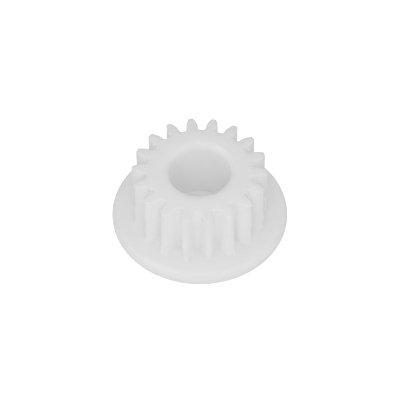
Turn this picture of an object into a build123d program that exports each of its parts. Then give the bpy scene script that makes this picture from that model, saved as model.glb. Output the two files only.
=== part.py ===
from build123d import *
import math
import os

# Flanged spur gear, one injection moulding in natural acetal.
#
# Frame: millimetres, +Z up along the gear axis. The origin is on the axis, on
# the flat underside of the flange, which is the face the gear stands on.
# The middle of one tooth lies on +X.

# ---- driving dimensions ---------------------------------------------------
module = 1.0             # gear module
teeth = 18               # number of teeth
pressure_angle = 20.0    # degrees, standard full-depth involute
addendum = 1.0           # in modules
dedendum = 1.25          # in modules
tooth_length = 9.0       # toothed height above the flange
root_fillet = 0.42       # radius in the corner between flank and root circle
tip_round = 0.18         # radius on the two long edges of each tooth tip
crown_round = 0.15       # radius round the top outline of the teeth
base_fillet = 0.40       # radius where the teeth grow out of the flange

flange_radius = 13.1     # outer radius of the flange
flange_thickness = 1.8   # flange height at the teeth
rim_top_round = 1.25     # large radius on the flange's upper edge
rim_foot_round = 0.50    # radius on the flange's lower edge

bore_radius = 4.55       # running fit on a 9 mm shaft
mouth_round = 0.95       # radius of the rounded bore mouth at the top
bore_foot_round = 0.20   # radius of the bore's lower edge

# ---- derived sizes --------------------------------------------------------
pitch_r = module * teeth / 2
base_r = pitch_r * math.cos(math.radians(pressure_angle))
tip_r = pitch_r + addendum * module
root_r = pitch_r - dedendum * module
height = flange_thickness + tooth_length
pitch_angle = 2 * math.pi / teeth


def inv(a):
    """The involute function."""
    return math.tan(a) - a


def half_angle(r):
    """Half the tooth's angle at radius r, from the base circle outwards."""
    a = math.acos(min(1.0, base_r / r))
    return (math.pi / (2 * teeth) + inv(math.radians(pressure_angle)) - inv(a))


def flank_point(r):
    """A point on the upper flank of the tooth on +X."""
    t = half_angle(r)
    return (r * math.cos(t), r * math.sin(t))


def flank_normal(r):
    """Unit normal of that flank, pointing out of the tooth."""
    e = 1e-5
    (x0, y0), (x1, y1) = flank_point(r - e), flank_point(r + e)
    dx, dy = x1 - x0, y1 - y0
    n = math.hypot(dx, dy)
    return (-dy / n, dx / n)


def tip_corner():
    """Where the tip rounding leaves the flank: radius on the flank, centre of
    the rounding, and its contact with the tip circle."""
    lo, hi = base_r + 0.3, tip_r
    for _ in range(80):
        r = (lo + hi) / 2
        (px, py), (nx, ny) = flank_point(r), flank_normal(r)
        cx, cy = px - tip_round * nx, py - tip_round * ny
        if math.hypot(cx, cy) > tip_r - tip_round:
            hi = r
        else:
            lo = r
    c = math.hypot(cx, cy)
    return r, (cx, cy), (cx / c * tip_r, cy / c * tip_r)


def root_corner():
    """The root fillet, between the radial foot of the flank and the root
    circle: centre and the two contacts."""
    t = half_angle(base_r)
    # centre lies root_fillet outside the flank's radial line and the root circle
    rc = root_r + root_fillet
    a = t + math.asin(root_fillet / rc)
    centre = (rc * math.cos(a), rc * math.sin(a))
    rf = math.sqrt(rc ** 2 - root_fillet ** 2)
    on_flank = (rf * math.cos(t), rf * math.sin(t))
    on_root = (root_r * math.cos(a), root_r * math.sin(a))
    return centre, on_flank, on_root


def turn(p, a):
    return (p[0] * math.cos(a) - p[1] * math.sin(a),
            p[0] * math.sin(a) + p[1] * math.cos(a))


def mirror(p):
    return (p[0], -p[1])


def mid_arc(centre, p, q):
    """The middle of the short arc from p to q round centre."""
    r = math.hypot(p[0] - centre[0], p[1] - centre[1])
    mx, my = (p[0] + q[0]) / 2 - centre[0], (p[1] + q[1]) / 2 - centre[1]
    m = math.hypot(mx, my)
    return (centre[0] + mx / m * r, centre[1] + my / m * r)


def gear_outline():
    """The closed outline of the whole toothed section, as a wire."""
    r_end, tip_c, tip_contact = tip_corner()
    root_c, root_flank, root_contact = root_corner()
    n = 9
    flank = [flank_point(base_r + (r_end - base_r) * (i / (n - 1)) ** 1.5)
             for i in range(n)]
    foot = flank[0]
    edges = []
    for k in range(teeth):
        a = k * pitch_angle

        def at(p):
            return turn(p, a)

        def back(p):
            return turn(mirror(p), a)

        edges += [
            # lower flank of the tooth, from the root outwards
            ThreePointArc(back(root_contact),
                          back(mid_arc(root_c, root_contact, root_flank)),
                          back(root_flank)),
            Line(back(root_flank), back(foot)),
            Spline(*[back(p) for p in flank]),
            ThreePointArc(back(flank[-1]),
                          back(mid_arc(tip_c, flank[-1], tip_contact)),
                          back(tip_contact)),
            # the tip
            ThreePointArc(back(tip_contact), at((tip_r, 0.0)), at(tip_contact)),
            # upper flank, from the tip inwards
            ThreePointArc(at(tip_contact),
                          at(mid_arc(tip_c, tip_contact, flank[-1])),
                          at(flank[-1])),
            Spline(*[at(p) for p in reversed(flank)]),
            Line(at(foot), at(root_flank)),
            ThreePointArc(at(root_flank),
                          at(mid_arc(root_c, root_flank, root_contact)),
                          at(root_contact)),
            # the root between this tooth and the next
            ThreePointArc(at(root_contact),
                          turn((root_r, 0.0), a + pitch_angle / 2),
                          turn(mirror(root_contact), a + pitch_angle)),
        ]
    return Wire([e for e in edges])


# ---- the moulding ---------------------------------------------------------
# Flange: a disc with a rounded rim, turned about the axis.
k = math.sqrt(0.5)
flange_section = make_face([
    Line((0, 0), (flange_radius - rim_foot_round, 0)),
    ThreePointArc((flange_radius - rim_foot_round, 0),
                  (flange_radius - rim_foot_round * (1 - k), rim_foot_round * (1 - k)),
                  (flange_radius, rim_foot_round)),
    Line((flange_radius, rim_foot_round), (flange_radius, flange_thickness - rim_top_round)),
    ThreePointArc((flange_radius, flange_thickness - rim_top_round),
                  (flange_radius - rim_top_round * (1 - k),
                   flange_thickness - rim_top_round * (1 - k)),
                  (flange_radius - rim_top_round, flange_thickness)),
    Line((flange_radius - rim_top_round, flange_thickness), (0, flange_thickness)),
    Line((0, flange_thickness), (0, 0)),
])
flange = revolve(Plane.XZ * flange_section, Axis.Z)

# Toothed column, running through the flange so that the two become one body.
outline = gear_outline()
column = extrude(make_face(outline), height)
column = fillet(column.edges().group_by(Axis.Z)[-1], crown_round)
gear = flange + column

# Fillet where the teeth grow out of the flange.
foot_edges = gear.edges().filter_by(
    lambda e: abs(e.center().Z - flange_thickness) < 1e-4
    and e.center().X ** 2 + e.center().Y ** 2 < (tip_r + 0.5) ** 2)
gear = fillet(foot_edges, base_fillet)

# Bore with its rounded mouth and lower edge.
bore_section = make_face([
    Line((0, -1), (bore_radius + bore_foot_round, -1)),
    Line((bore_radius + bore_foot_round, -1), (bore_radius + bore_foot_round, 0)),
    ThreePointArc((bore_radius + bore_foot_round, 0),
                  (bore_radius + bore_foot_round * (1 - k), bore_foot_round * (1 - k)),
                  (bore_radius, bore_foot_round)),
    Line((bore_radius, bore_foot_round), (bore_radius, height - mouth_round)),
    ThreePointArc((bore_radius, height - mouth_round),
                  (bore_radius + mouth_round * (1 - k), height - mouth_round * (1 - k)),
                  (bore_radius + mouth_round, height)),
    Line((bore_radius + mouth_round, height), (bore_radius + mouth_round, height + 1)),
    Line((bore_radius + mouth_round, height + 1), (0, height + 1)),
    Line((0, height + 1), (0, -1)),
])
gear = gear - revolve(Plane.XZ * bore_section, Axis.Z)

spur_gear = gear.solids()[0]
spur_gear.label = "spur_gear"

os.makedirs("parts", exist_ok=True)
export_step(spur_gear, "parts/spur_gear.step")

bb = spur_gear.bounding_box()
print("solids", len(gear.solids()), "valid", spur_gear.is_valid,
      "volume", round(spur_gear.volume, 2),
      "size", [round(v, 3) for v in (bb.size.X, bb.size.Y, bb.size.Z)])
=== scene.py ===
import bpy
import math
from mathutils import Matrix, Vector


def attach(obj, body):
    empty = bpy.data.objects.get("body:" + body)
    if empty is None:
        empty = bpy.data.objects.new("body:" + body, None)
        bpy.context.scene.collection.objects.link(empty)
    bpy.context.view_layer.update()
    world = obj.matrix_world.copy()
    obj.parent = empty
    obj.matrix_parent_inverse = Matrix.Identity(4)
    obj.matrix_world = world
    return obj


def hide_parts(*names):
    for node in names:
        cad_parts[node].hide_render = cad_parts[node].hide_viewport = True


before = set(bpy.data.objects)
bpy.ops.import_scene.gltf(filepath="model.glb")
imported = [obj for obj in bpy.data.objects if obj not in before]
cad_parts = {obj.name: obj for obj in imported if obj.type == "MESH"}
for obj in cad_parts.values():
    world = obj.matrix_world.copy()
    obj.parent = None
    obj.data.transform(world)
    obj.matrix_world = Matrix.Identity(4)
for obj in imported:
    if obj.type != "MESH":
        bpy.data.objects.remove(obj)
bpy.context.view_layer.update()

MM = 0.001
FLOOR_GLOW = 0.75
PAD_R = 0.0122           # paper under the gear, hidden by the flange but for the bore; its darker tone is painted shade and its glow painted light into the bore
PAD_SHADE_TONE = 0.50
PAD_PAINTED_GLOW = 0.31

# ---------------------------------------------------------------------------
# sizes of the moulding, in millimetres, as in the CAD
# ---------------------------------------------------------------------------
MODULE = 1.0
TEETH = 18
PRESSURE = math.radians(20.0)
PITCH_R = MODULE * TEETH / 2
BASE_R = PITCH_R * math.cos(PRESSURE)
TIP_R = PITCH_R + 1.0 * MODULE
ROOT_R = PITCH_R - 1.25 * MODULE
ROOT_FILLET = 0.42
TIP_ROUND = 0.18
CROWN_ROUND = 0.15
BASE_FILLET = 0.40
FLANGE_R = 13.1
FLANGE_T = 1.8
RIM_TOP = 1.25
RIM_FOOT = 0.50
HEIGHT = FLANGE_T + 9.0
BORE_R = 4.55
MOUTH_ROUND = 0.95
BORE_FOOT = 0.20


# ---------------------------------------------------------------------------
# the gear's outline
# ---------------------------------------------------------------------------
def inv(a):
    return math.tan(a) - a


def half_angle(r):
    return math.pi / (2 * TEETH) + inv(PRESSURE) - inv(math.acos(min(1.0, BASE_R / r)))


def flank_point(r):
    t = half_angle(r)
    return (r * math.cos(t), r * math.sin(t))


def flank_normal(r):
    e = 1e-5
    r = max(r, BASE_R + 2 * e)
    (x0, y0), (x1, y1) = flank_point(r - e), flank_point(r + e)
    dx, dy = x1 - x0, y1 - y0
    n = math.hypot(dx, dy)
    return (-dy / n, dx / n)


def tip_corner():
    lo, hi = BASE_R + 0.3, TIP_R
    for _ in range(80):
        r = (lo + hi) / 2
        (px, py), (nx, ny) = flank_point(r), flank_normal(r)
        cx, cy = px - TIP_ROUND * nx, py - TIP_ROUND * ny
        if math.hypot(cx, cy) > TIP_R - TIP_ROUND:
            hi = r
        else:
            lo = r
    return r, (cx, cy)


def half_tooth():
    """Points and outward normals from the middle of the tip on +X to the
    middle of the root at +10 degrees."""
    out = []
    r_end, (cx, cy) = tip_corner()
    # tip land
    a_tip = math.atan2(cy, cx)
    for i in range(3):
        a = a_tip * i / 3
        out.append((TIP_R * math.cos(a), TIP_R * math.sin(a), math.cos(a), math.sin(a)))
    # tip rounding
    nx, ny = flank_normal(r_end)
    a1 = math.atan2(ny, nx)
    for i in range(6):
        a = a_tip + (a1 - a_tip) * i / 5
        out.append((cx + TIP_ROUND * math.cos(a), cy + TIP_ROUND * math.sin(a),
                    math.cos(a), math.sin(a)))
    # involute flank
    n = 9
    for i in range(1, n + 1):
        r = r_end + (BASE_R - r_end) * i / n
        p, m = flank_point(r), flank_normal(r)
        out.append((p[0], p[1], m[0], m[1]))
    # straight radial foot below the base circle
    t = half_angle(BASE_R)
    rc = ROOT_R + ROOT_FILLET
    a = t + math.asin(ROOT_FILLET / rc)
    fx, fy = rc * math.cos(a), rc * math.sin(a)
    r_foot = math.sqrt(rc * rc - ROOT_FILLET * ROOT_FILLET)
    r = (BASE_R + r_foot) / 2
    out.append((r * math.cos(t), r * math.sin(t), -math.sin(t), math.cos(t)))
    # root fillet
    start = t - math.pi / 2          # from the centre towards the flank
    end = a - math.pi                # from the centre towards the root circle
    for i in range(8):
        b = start + (end - start) * i / 7
        out.append((fx + ROOT_FILLET * math.cos(b), fy + ROOT_FILLET * math.sin(b),
                    -math.cos(b), -math.sin(b)))
    # root land
    a_mid = math.pi / TEETH
    for i in range(1, 3):
        b = a + (a_mid - a) * i / 2
        out.append((ROOT_R * math.cos(b), ROOT_R * math.sin(b), math.cos(b), math.sin(b)))
    return out


def outline():
    half = half_tooth()
    other = [(x, -y, nx, -ny) for x, y, nx, ny in reversed(half[1:-1])]
    tooth = half + [
        (x * math.cos(2 * math.pi / TEETH) - y * math.sin(2 * math.pi / TEETH),
         x * math.sin(2 * math.pi / TEETH) + y * math.cos(2 * math.pi / TEETH),
         nx * math.cos(2 * math.pi / TEETH) - ny * math.sin(2 * math.pi / TEETH),
         nx * math.sin(2 * math.pi / TEETH) + ny * math.cos(2 * math.pi / TEETH))
        for x, y, nx, ny in other]
    pts = []
    for k in range(TEETH):
        c, s = math.cos(2 * math.pi * k / TEETH), math.sin(2 * math.pi * k / TEETH)
        for x, y, nx, ny in tooth:
            pts.append((x * c - y * s, x * s + y * c, nx * c - ny * s, nx * s + ny * c))
    return pts


OUT = outline()
M = len(OUT)


def contour(offset, z):
    """The gear outline pushed out by offset, at height z."""
    return [(x + nx * offset, y + ny * offset, z) for x, y, nx, ny in OUT]


def spread():
    """Angles for the round rings: close to those of the outline's points, so
    that no face between a round ring and a toothed one folds over."""
    angles = []
    for i, (x, y, nx, ny) in enumerate(OUT):
        a = math.atan2(y, x)
        even = 2 * math.pi * i / M
        a += 2 * math.pi * round((even - a) / (2 * math.pi))
        angles.append(0.9 * a + 0.1 * even)
    return angles


SPREAD = spread()


def circle(r, z):
    return [(r * math.cos(a), r * math.sin(a), z) for a in SPREAD]


def arc(n, a0, a1):
    return [math.radians(a0 + (a1 - a0) * i / n) for i in range(n + 1)]


FILLED = []


def rings():
    """Every ring of the closed surface, from the bore's foot over the top and
    round the flange back to the bore's foot."""
    out = []
    # bore wall, upwards
    out.append(circle(BORE_R, BORE_FOOT))
    lo, hi = BORE_FOOT, HEIGHT - MOUTH_ROUND
    for t in (0.02, 0.12, 0.25, 0.4, 0.55, 0.7, 0.85, 0.96, 1.0):
        out.append(circle(BORE_R, lo + (hi - lo) * t))
    # rounded mouth
    for a in arc(12, 0, 90)[1:]:
        out.append(circle(BORE_R + MOUTH_ROUND * (1 - math.cos(a)),
                          HEIGHT - MOUTH_ROUND + MOUTH_ROUND * math.sin(a)))
    # top face
    out.append(circle(BORE_R + MOUTH_ROUND + 0.06, HEIGHT))
    out.append(circle(6.4, HEIGHT))
    out.append(circle(7.1, HEIGHT))
    FILLED.append(len(out) - 1)
    out.append(contour(-CROWN_ROUND - 0.02, HEIGHT))
    # rounding over the crown of the teeth
    for a in arc(6, 90, 0):
        out.append(contour(-CROWN_ROUND * (1 - math.cos(a)),
                           HEIGHT - CROWN_ROUND * (1 - math.sin(a))))
    # tooth walls, downwards
    top, foot = HEIGHT - CROWN_ROUND, FLANGE_T + BASE_FILLET
    for t in (0.01, 0.1, 0.25, 0.4, 0.55, 0.7, 0.85, 0.99, 1.0):
        out.append(contour(0.0, top + (foot - top) * t))
    # fillet into the flange
    for a in arc(7, 0, 90)[1:]:
        out.append(contour(BASE_FILLET * (1 - math.cos(a)),
                           FLANGE_T + BASE_FILLET * (1 - math.sin(a))))
    # upper side of the flange
    FILLED.append(len(out) - 1)
    out.append(circle(10.75, FLANGE_T))
    out.append(circle(11.6, FLANGE_T))
    out.append(circle(FLANGE_R - RIM_TOP - 0.05, FLANGE_T))
    # rim
    for a in arc(10, 90, 0):
        out.append(circle(FLANGE_R - RIM_TOP + RIM_TOP * math.cos(a),
                          FLANGE_T - RIM_TOP + RIM_TOP * math.sin(a)))
    for a in arc(6, 0, 90):
        out.append(circle(FLANGE_R - RIM_FOOT + RIM_FOOT * math.cos(a),
                          RIM_FOOT - RIM_FOOT * math.sin(a)))
    # underside
    out.append(circle(FLANGE_R - RIM_FOOT - 0.05, 0.0))
    for r in (11.0, 8.5, 6.5, BORE_R + BORE_FOOT + 0.05):
        out.append(circle(r, 0.0))
    # lower edge of the bore
    for a in arc(6, 0, 90)[:-1]:
        out.append(circle(BORE_R + BORE_FOOT * (1 - math.sin(a)),
                          BORE_FOOT * (1 - math.cos(a))))
    return out


def build_moulding():
    loops = rings()
    verts = [(x * MM, y * MM, z * MM) for loop in loops for x, y, z in loop]
    faces = []
    n = len(loops)
    for j in range(n):
        if j in FILLED:
            continue
        a, b = j * M, ((j + 1) % n) * M
        for i in range(M):
            k = (i + 1) % M
            faces.append((a + i, a + k, b + k, b + i))
    mesh = bpy.data.meshes.new("gear_moulding")
    mesh.from_pydata(verts, [], faces)
    mesh.validate()
    mesh.update()
    ob = bpy.data.objects.new("gear_moulding", mesh)
    bpy.context.scene.collection.objects.link(ob)
    # normals outwards
    import bmesh
    bm = bmesh.new()
    bm.from_mesh(mesh)
    # the flat bands between a toothed ring and a round one
    bm.verts.ensure_lookup_table()
    for j in FILLED:
        edges = []
        for a in (j * M, (j + 1) * M):
            for i in range(M):
                edges.append(bm.edges.get((bm.verts[a + i], bm.verts[a + (i + 1) % M])))
        bmesh.ops.triangle_fill(bm, use_beauty=True, edges=edges)
    bmesh.ops.recalc_face_normals(bm, faces=bm.faces)
    for f in bm.faces:
        f.smooth = True
    bm.to_mesh(mesh)
    bm.free()
    return ob


# ---------------------------------------------------------------------------
# material: natural acetal as it comes from the mould
# ---------------------------------------------------------------------------
def acetal():
    mat = bpy.data.materials.new("natural_acetal")
    mat.use_nodes = True
    nt = mat.node_tree
    nt.nodes.clear()

    def node(kind, x, y, **props):
        n = nt.nodes.new(kind)
        n.location = (x, y)
        for k, v in props.items():
            setattr(n, k, v)
        return n

    link = nt.links.new
    out = node("ShaderNodeOutputMaterial", 900, 0)
    bsdf = node("ShaderNodeBsdfPrincipled", 600, 0)
    link(bsdf.outputs["BSDF"], out.inputs["Surface"])
    bsdf.inputs["IOR"].default_value = 1.48
    bsdf.inputs["Subsurface Weight"].default_value = 1.0
    bsdf.inputs["Subsurface Radius"].default_value = (1.0, 1.0, 1.0)
    bsdf.inputs["Subsurface Scale"].default_value = 0.0045

    coords = node("ShaderNodeTexCoord", -1300, 0)

    # slow cloudiness of the resin
    cloud = node("ShaderNodeTexNoise", -1000, 300)
    cloud.inputs["Scale"].default_value = 160.0
    cloud.inputs["Detail"].default_value = 3.0
    link(coords.outputs["Object"], cloud.inputs["Vector"])
    tint = node("ShaderNodeValToRGB", -700, 300)
    tint.color_ramp.elements[0].position = 0.3
    tint.color_ramp.elements[0].color = (0.988, 0.988, 0.9855, 1)
    tint.color_ramp.elements[1].position = 0.75
    tint.color_ramp.elements[1].color = (0.997, 0.997, 0.9955, 1)
    link(cloud.outputs["Fac"], tint.inputs["Fac"])
    link(tint.outputs["Color"], bsdf.inputs["Base Color"])

    # satin gloss that varies with the mould's finish
    sheen = node("ShaderNodeTexNoise", -1000, -50)
    sheen.inputs["Scale"].default_value = 420.0
    sheen.inputs["Detail"].default_value = 4.0
    link(coords.outputs["Object"], sheen.inputs["Vector"])
    rough = node("ShaderNodeMapRange", -700, -50)
    rough.inputs["From Min"].default_value = 0.3
    rough.inputs["From Max"].default_value = 0.7
    rough.inputs["To Min"].default_value = 0.38
    rough.inputs["To Max"].default_value = 0.46
    link(sheen.outputs["Fac"], rough.inputs["Value"])
    link(rough.outputs["Result"], bsdf.inputs["Roughness"])

    # very slight orange peel and spark-eroded grain
    grain = node("ShaderNodeTexNoise", -1000, -400)
    grain.inputs["Scale"].default_value = 3200.0
    grain.inputs["Detail"].default_value = 2.0
    link(coords.outputs["Object"], grain.inputs["Vector"])
    peel = node("ShaderNodeTexNoise", -1000, -700)
    peel.inputs["Scale"].default_value = 700.0
    peel.inputs["Detail"].default_value = 1.0
    link(coords.outputs["Object"], peel.inputs["Vector"])
    b1 = node("ShaderNodeBump", -300, -400)
    b1.inputs["Strength"].default_value = 0.04
    b1.inputs["Distance"].default_value = 0.00002
    link(grain.outputs["Fac"], b1.inputs["Height"])
    b2 = node("ShaderNodeBump", 0, -500)
    b2.inputs["Strength"].default_value = 0.05
    b2.inputs["Distance"].default_value = 0.00004
    link(peel.outputs["Fac"], b2.inputs["Height"])
    link(b1.outputs["Normal"], b2.inputs["Normal"])
    link(b2.outputs["Normal"], bsdf.inputs["Normal"])
    return mat


gear = build_moulding()
gear.data.materials.append(acetal())
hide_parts("spur_gear")
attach(gear, "root")


# ---------------------------------------------------------------------------
# floor, light and camera
# ---------------------------------------------------------------------------
def paper(name, tone, glow):
    """Matt paper of the given tone with an even glow added, as on a light table. On the floor this
    gives an evenly white ground; under the gear the darker tone is painted shade and the glow
    painted light that brightens the bore from below.
    """
    mat = bpy.data.materials.new(name)
    mat.use_nodes = True
    nt = mat.node_tree
    nt.nodes.clear()
    out = nt.nodes.new("ShaderNodeOutputMaterial")
    diff = nt.nodes.new("ShaderNodeBsdfDiffuse")
    coords = nt.nodes.new("ShaderNodeTexCoord")
    noise = nt.nodes.new("ShaderNodeTexNoise")
    noise.inputs["Scale"].default_value = 300.0
    ramp = nt.nodes.new("ShaderNodeValToRGB")
    ramp.color_ramp.elements[0].color = (tone - 0.01, tone - 0.01, tone - 0.01, 1)
    ramp.color_ramp.elements[1].color = (tone + 0.01, tone + 0.01, tone + 0.01, 1)
    nt.links.new(coords.outputs["Object"], noise.inputs["Vector"])
    nt.links.new(noise.outputs["Fac"], ramp.inputs["Fac"])
    nt.links.new(ramp.outputs["Color"], diff.inputs["Color"])
    add = nt.nodes.new("ShaderNodeAddShader")
    emit = nt.nodes.new("ShaderNodeEmission")
    emit.inputs["Color"].default_value = (1, 1, 1, 1)
    emit.inputs["Strength"].default_value = glow
    nt.links.new(diff.outputs[0], add.inputs[0])
    nt.links.new(emit.outputs[0], add.inputs[1])
    nt.links.new(add.outputs[0], out.inputs["Surface"])
    return mat


def build_floor():
    """A flat pale floor that starts just inside the flange's foot and sweeps
    up into a low wall all round, so that no horizon shows."""
    profile = [(PAD_R, 0.0), (0.02, 0.0), (0.06, 0.0), (0.2, 0.0), (0.5, 0.0), (0.9, 0.0)]
    for i in range(1, 13):
        t = math.radians(90 * i / 12)
        profile.append((0.9 + 0.35 * math.sin(t), 0.35 * (1 - math.cos(t))))
    profile.append((1.25, 0.9))
    n = 96
    verts = []
    for r, z in profile:
        for i in range(n):
            t = 2 * math.pi * i / n
            verts.append((r * math.cos(t), r * math.sin(t), z))
    faces = []
    for j in range(len(profile) - 1):
        for i in range(n):
            k = (i + 1) % n
            faces.append((j * n + i, (j + 1) * n + i, (j + 1) * n + k, j * n + k))
    mesh = bpy.data.meshes.new("floor")
    mesh.from_pydata(verts, [], faces)
    mesh.update()
    for poly in mesh.polygons:
        poly.use_smooth = True
    ob = bpy.data.objects.new("floor", mesh)
    bpy.context.scene.collection.objects.link(ob)
    # The plastic is lit by the surroundings alone, as in a cut-out product
    # shot: the floor's own glow doesn't fall on it.
    ob.visible_diffuse = False
    ob.visible_glossy = False
    ob.visible_transmission = False
    ob.visible_shadow = False
    return ob


floor = build_floor()
floor.data.materials.append(paper("pale_floor", 0.80, FLOOR_GLOW))

# Pad under the gear: its darker tone is painted shade of the floor beneath it, and its glow is
# painted light that brightens the bore from below.
bpy.ops.mesh.primitive_circle_add(vertices=96, radius=PAD_R, fill_type="NGON", location=(0, 0, 0))
pad = bpy.context.object
pad.name = "pad_painted_shade_under_gear"
pad.data.materials.append(paper("pad_painted_shade_and_glow", PAD_SHADE_TONE, PAD_PAINTED_GLOW))

world = bpy.data.worlds.new("studio")
bpy.context.scene.world = world
world.use_nodes = True
world.node_tree.nodes["Background"].inputs["Color"].default_value = (1, 1, 1, 1)
world.node_tree.nodes["Background"].inputs["Strength"].default_value = 0.56


def softbox(name, azimuth, elevation, distance, width, height, power, target=(0, 0, 0.005)):
    """A rectangular softbox. Azimuth 0 is on -Y, in front of the object, and
    grows towards +X."""
    a, e = math.radians(azimuth), math.radians(elevation)
    pos = Vector(target) + distance * Vector((math.sin(a) * math.cos(e),
                                              -math.cos(a) * math.cos(e), math.sin(e)))
    light = bpy.data.lights.new(name, "AREA")
    light.shape = "RECTANGLE"
    light.size, light.size_y = width, height
    light.energy = power
    ob = bpy.data.objects.new(name, light)
    bpy.context.scene.collection.objects.link(ob)
    ob.location = pos
    ob.rotation_euler = (Vector(target) - pos).to_track_quat("-Z", "Y").to_euler()
    return ob


# Broad fill, which leaves no highlight of its own
for name, azimuth, elevation, power in (("fill_front", 0, 45, 0.70), ("fill_low", 0, -30, 0.24),
                                        ("fill_left", -90, 20, 0.15), ("fill_right", 90, 20, 0.12)):
    softbox(name, azimuth, elevation, 0.55, 0.22, 0.22, power).visible_glossy = False
# Two tall strip lights, seen only as the soft highlights on the rim and mouth
softbox("strip_left", -75, 55, 0.55, 0.214, 0.513, 1.05).visible_diffuse = False
softbox("strip_right", 75, 55, 0.55, 0.214, 0.513, 0.50).visible_diffuse = False

# Camera: the view that the photograph has, as a long-lens product shot.
R_F = FLANGE_R * MM
ELEVATION = 0.8962
ROLL = -0.0016
DIST = 24.58 * R_F
SCALE_PX = 87.79                      # pixels per flange radius at the flange's top
CENTRE_PX = (199.30, 207.41)          # where the centre of the flange's top lies
PHASE = -0.0409                       # turn of the gear about its axis in the view

# The gear has a tooth on +X; turning the camera about Z gives the teeth their
# place in the view, and the flange and bore are round.
AZ = -PHASE - math.radians(0.0)
back = Vector((0, -math.cos(ELEVATION), math.sin(ELEVATION)))
right = Vector((1, 0, 0))
up = back.cross(right)
c, s = math.cos(ROLL), math.sin(ROLL)
right, up = c * right + s * up, -s * right + c * up
px, py = (CENTRE_PX[0] - 199.5) / SCALE_PX, (199.5 - CENTRE_PX[1]) / SCALE_PX
target = Vector((0, 0, FLANGE_T * MM)) - right * (px * R_F) - up * (py * R_F)
eye = target + back * DIST
turn = Matrix.Rotation(AZ, 3, "Z")
right, up, back, eye = turn @ right, turn @ up, turn @ back, turn @ eye

cam = bpy.data.cameras.new("camera")
camera = bpy.data.objects.new("camera", cam)
bpy.context.scene.collection.objects.link(camera)
cam.sensor_width = 36.0
cam.lens = SCALE_PX * 24.58 * 36.0 / 400.0
cam.clip_start, cam.clip_end = 0.01, 10.0
camera.matrix_world = Matrix((
    (right.x, up.x, back.x, eye.x),
    (right.y, up.y, back.y, eye.y),
    (right.z, up.z, back.z, eye.z),
    (0, 0, 0, 1)))
bpy.context.scene.camera = camera

bpy.context.scene.view_settings.view_transform = "Standard"
bpy.context.scene.view_settings.look = "None"
